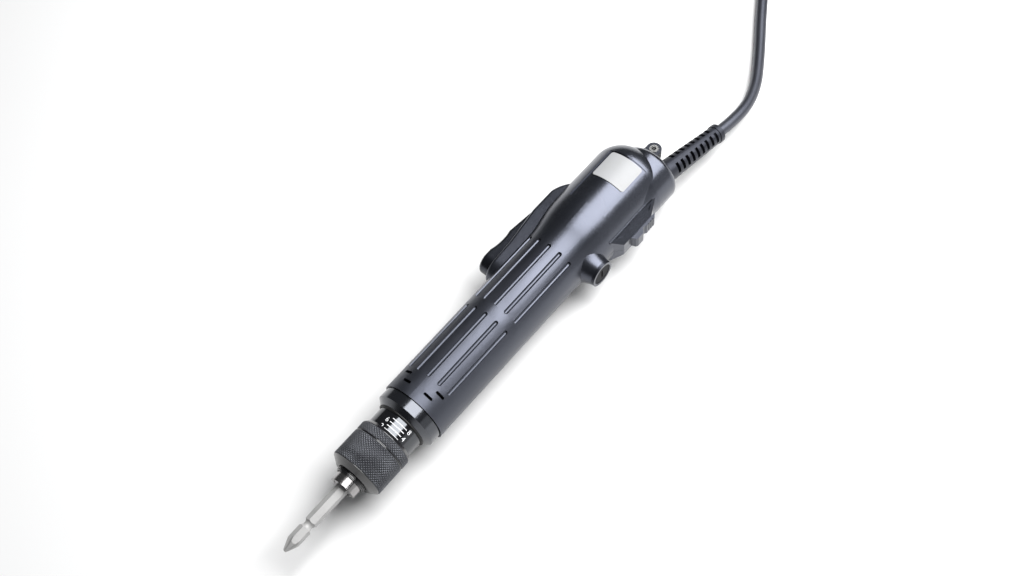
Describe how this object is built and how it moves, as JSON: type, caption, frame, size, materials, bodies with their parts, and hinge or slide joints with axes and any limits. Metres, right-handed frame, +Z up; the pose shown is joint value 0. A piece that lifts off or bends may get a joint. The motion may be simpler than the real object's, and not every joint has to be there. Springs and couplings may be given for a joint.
{
  "type": "electric screwdriver",
  "caption": "Straight corded electric screwdriver with a lever start, adjustable clutch rings, a hexagonal bit in a quick chuck, a hanging eye and a ribbed cord boot.",
  "frame": {"origin": "on the spindle axis, at the rear edge of the nose collar's cylinder where it meets the housing", "axes": "+X along the spindle from the bit towards the cord, +Z up through the label, +Y to the side of the start lever"},
  "size_m": [0.5809, 0.0967, 0.0456],
  "materials": {
    "housing": "satin moulded",
    "nose": "gloss black anodised",
    "knurl": "black knurled",
    "dial": "gloss black with pale graduations",
    "steel": "ground",
    "polished_steel": "polished",
    "bit_steel": "satin",
    "spring_steel": "drawn wire",
    "black_plastic": "fine matt",
    "label": "plain printed film",
    "rubber": "matt",
    "cord": "satin sheath",
    "cap": "matt",
    "eyelet": "bare",
    "brass": "bare",
    "copper": "enamelled wire",
    "carbon": "pressed carbon",
    "magnet": "bare",
    "board": "lacquered",
    "gear_case": "turned"
  },
  "bodies": {
    "tool_body": {"upper_housing_shell": "housing", "lower_housing_shell": "housing", "label_plate": "label", "housing_screws": "steel", "nose_collar": "nose", "nose_seal": "rubber", "dial_sleeve": "dial", "clutch_spring": "spring_steel", "thrust_race": "steel", "ring_gear": "steel", "gear_case": "gear_case", "spindle_bearing": "steel", "motor_front_plate": "gear_case", "front_motor_bearing": "steel", "rear_motor_bearing": "steel", "motor_can": "steel", "field_magnets": "magnet", "motor_rear_plate": "black_plastic", "brush_holders": "brass", "carbon_brushes": "carbon", "brush_springs": "spring_steel", "brush_cap_near": "cap", "brush_cap_far": "cap", "lever_pin": "steel", "lever_spring": "spring_steel", "start_switch": "black_plastic", "direction_switch": "black_plastic", "circuit_board": "board", "hanger_bracket": "black_plastic", "hanger_eyelet": "eyelet", "strain_relief_boot": "rubber", "power_cord": "cord", "cord_coil": "cord", "cord_tie": "black_plastic", "connector_body": "black_plastic"},
    "start_lever": {"start_lever": "black_plastic"},
    "switch_plunger": {"switch_plunger": "cap"},
    "direction_knob": {"direction_knob": "black_plastic"},
    "torque_carriage": {"spring_seat": "steel"},
    "torque_ring": {"torque_ring": "knurl", "front_bush": "black_plastic"},
    "lock_ring": {"lock_ring": "knurl"},
    "rotor": {"armature_shaft": "steel", "armature_core": "magnet", "armature_winding": "copper", "commutator": "copper", "cooling_fan": "black_plastic", "sun_gear": "steel"},
    "spindle": {"spindle": "steel", "chuck_ball": "polished_steel", "chuck_spring": "spring_steel", "clutch_plate": "steel", "clutch_balls": "polished_steel", "clutch_cam": "steel", "planet_carrier": "steel"},
    "chuck_sleeve": {"chuck_sleeve": "polished_steel"},
    "screwdriver_bit": {"screwdriver_bit": "bit_steel"},
    "planet_1": {"planet_gear_1": "steel"},
    "planet_2": {"planet_gear_2": "steel"},
    "planet_3": {"planet_gear_3": "steel"}
  },
  "joints": [
    {"name": "lever_press", "type": "hinge", "parent": "tool_body", "child": "start_lever", "pos_m": [0.146, 0.0212, 0], "axis": [0, 0, 1], "range_deg": [0, 3.2], "stiffness_Nm_per_rad": 0.5, "springref_deg": -3.44, "deforming": ["lever_spring"]},
    {"name": "plunger_slide", "type": "slide", "parent": "tool_body", "child": "switch_plunger", "axis": [0, -1, 0], "range_m": [0, 0.002]},
    {"name": "direction_slide", "type": "slide", "parent": "tool_body", "child": "direction_knob", "axis": [1, 0, 0], "range_m": [-0.0035, 0.0035]},
    {"name": "torque_turn", "type": "hinge", "parent": "torque_carriage", "child": "torque_ring", "pos_m": [-0.035, 0, 0], "axis": [1, 0, 0], "range_deg": [0, 1080]},
    {"name": "torque_advance", "type": "slide", "parent": "tool_body", "child": "torque_carriage", "axis": [1, 0, 0], "range_m": [0, 0.00632], "deforming": ["clutch_spring"]},
    {"name": "lock_turn", "type": "hinge", "parent": "torque_carriage", "child": "lock_ring", "pos_m": [-0.0227, 0, 0], "axis": [1, 0, 0], "range_deg": [-30, 0]},
    {"name": "rotor_spin", "type": "hinge", "parent": "tool_body", "child": "rotor", "pos_m": [0.09, 0, 0], "axis": [1, 0, 0], "continuous": true},
    {"name": "spindle_spin", "type": "hinge", "parent": "tool_body", "child": "spindle", "pos_m": [-0.02, 0, 0], "axis": [1, 0, 0], "continuous": true},
    {"name": "planet_1_spin", "type": "hinge", "parent": "spindle", "child": "planet_1", "pos_m": [0.01, 0.0081, 0], "axis": [1, 0, 0], "continuous": true},
    {"name": "planet_2_spin", "type": "hinge", "parent": "spindle", "child": "planet_2", "pos_m": [0.01, -0.00405, 0.00701], "axis": [1, 0, 0], "continuous": true},
    {"name": "planet_3_spin", "type": "hinge", "parent": "spindle", "child": "planet_3", "pos_m": [0.01, -0.00405, -0.00701], "axis": [1, 0, 0], "continuous": true},
    {"name": "chuck_pull", "type": "slide", "parent": "spindle", "child": "chuck_sleeve", "axis": [-1, 0, 0], "range_m": [0, 0.002], "stiffness_N_per_m": 150, "springref_m": -0.002, "deforming": ["chuck_spring"]},
    {"name": "bit_pull", "type": "slide", "parent": "spindle", "child": "screwdriver_bit", "axis": [-1, 0, 0], "range_m": [0, 0.03]}
  ],
  "couplings": [
    {"joint": "plunger_slide", "follows": "lever_press", "m_per_rad": 0.034},
    {"joint": "torque_advance", "follows": "torque_turn", "m_per_rad": 0.00033423},
    {"joint": "spindle_spin", "follows": "rotor_spin", "ratio": 0.16667},
    {"joint": "planet_1_spin", "follows": "rotor_spin", "ratio": -0.41667},
    {"joint": "planet_2_spin", "follows": "rotor_spin", "ratio": -0.41667},
    {"joint": "planet_3_spin", "follows": "rotor_spin", "ratio": -0.41667}
  ]
}
